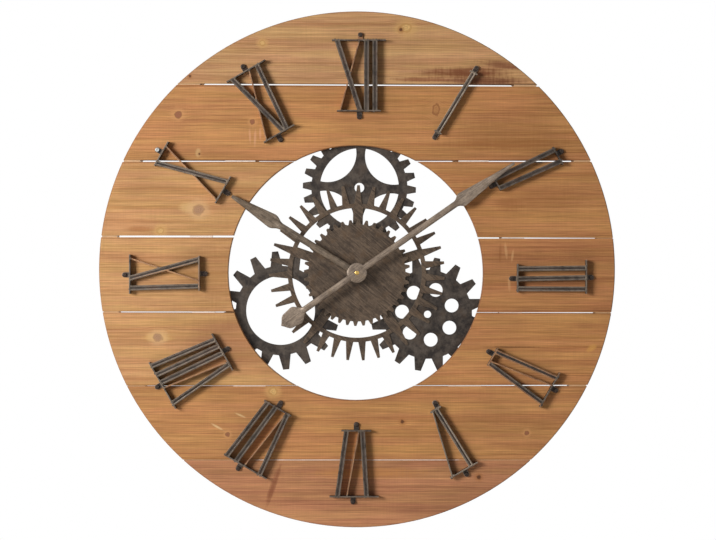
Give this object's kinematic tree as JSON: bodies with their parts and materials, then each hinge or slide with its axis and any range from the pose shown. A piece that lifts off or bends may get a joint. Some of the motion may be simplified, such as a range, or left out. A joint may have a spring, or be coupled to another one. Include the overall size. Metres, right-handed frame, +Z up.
{
  "type": "wall clock",
  "caption": "Large round plank dial on rear hoops, with an open centre of flat iron gears, raised roman numerals, two spear hands and a battery movement.",
  "frame": {"origin": "on the axis of the hands, in the plane of the wall", "axes": "+Z up, the front faces -Y, +X to the viewer's right"},
  "size_m": [0.8, 0.0535, 0.7999],
  "materials": {
    "pine": "satin",
    "plywood": "satin",
    "gear_iron": "satin",
    "dial_iron": "satin",
    "numeral_iron": "satin",
    "hand_metal": "satin",
    "screw_steel": "satin",
    "zinc_steel": "satin",
    "brass": "polished",
    "rubber": "matte",
    "case_plastic": "matte",
    "wheel_plastic": "satin",
    "circuit": "satin",
    "copper": "satin",
    "nickel": "satin",
    "cell_sleeve": "satin"
  },
  "bodies": {
    "dial": {"board_top": "pine", "board_upper": "pine", "board_high_left": "pine", "board_high_right": "pine", "board_middle_left": "pine", "board_middle_right": "pine", "board_low_left": "pine", "board_low_right": "pine", "board_lower": "pine", "board_bottom": "pine", "hoop_outer": "plywood", "hoop_inner": "plywood", "numeral_01": "numeral_iron", "numeral_02": "numeral_iron", "numeral_03": "numeral_iron", "numeral_04": "numeral_iron", "numeral_05": "numeral_iron", "numeral_06": "numeral_iron", "numeral_07": "numeral_iron", "numeral_08": "numeral_iron", "numeral_09": "numeral_iron", "numeral_10": "numeral_iron", "numeral_11": "numeral_iron", "numeral_12": "numeral_iron", "board_screws": "zinc_steel", "hanger_plate": "zinc_steel", "hanger_screws": "zinc_steel", "gear_top": "gear_iron", "gear_left": "gear_iron", "gear_right": "gear_iron", "gear_screws": "zinc_steel", "ring_gear": "dial_iron", "saw_disc": "dial_iron", "disc_spacer": "case_plastic", "numeral_screws": "screw_steel", "rubber_washer": "rubber", "brass_washer": "brass", "hex_nut": "brass", "movement_case": "case_plastic", "movement_cover": "case_plastic", "movement_bushing": "brass", "circuit_board": "circuit", "quartz_crystal": "nickel", "motor_stator": "nickel", "motor_coil": "copper", "contact_plus": "nickel", "contact_minus": "nickel"},
    "hour": {"hour_wheel": "wheel_plastic", "hour_hand": "hand_metal"},
    "minute": {"minute_arbor": "brass", "minute_hand": "hand_metal", "minute_nut": "brass"},
    "setting": {"setting_wheel": "wheel_plastic", "setting_knob": "case_plastic"},
    "cell": {"battery": "cell_sleeve"}
  },
  "joints": [
    {"name": "minute_spin", "type": "hinge", "parent": "dial", "child": "minute", "pos_m": [0, 0, 0], "axis": [0, 1, 0], "continuous": true},
    {"name": "hour_spin", "type": "hinge", "parent": "dial", "child": "hour", "pos_m": [0, 0, 0], "axis": [0, 1, 0], "continuous": true},
    {"name": "setting_spin", "type": "hinge", "parent": "dial", "child": "setting", "pos_m": [0, 0, 0.012], "axis": [0, 1, 0], "continuous": true},
    {"name": "cell_slide", "type": "slide", "parent": "dial", "child": "cell", "axis": [0, 1, 0], "range_m": [0, 0.02]}
  ],
  "couplings": [
    {"joint": "hour_spin", "follows": "minute_spin", "ratio": 0.083333},
    {"joint": "setting_spin", "follows": "minute_spin", "ratio": -0.33333}
  ]
}
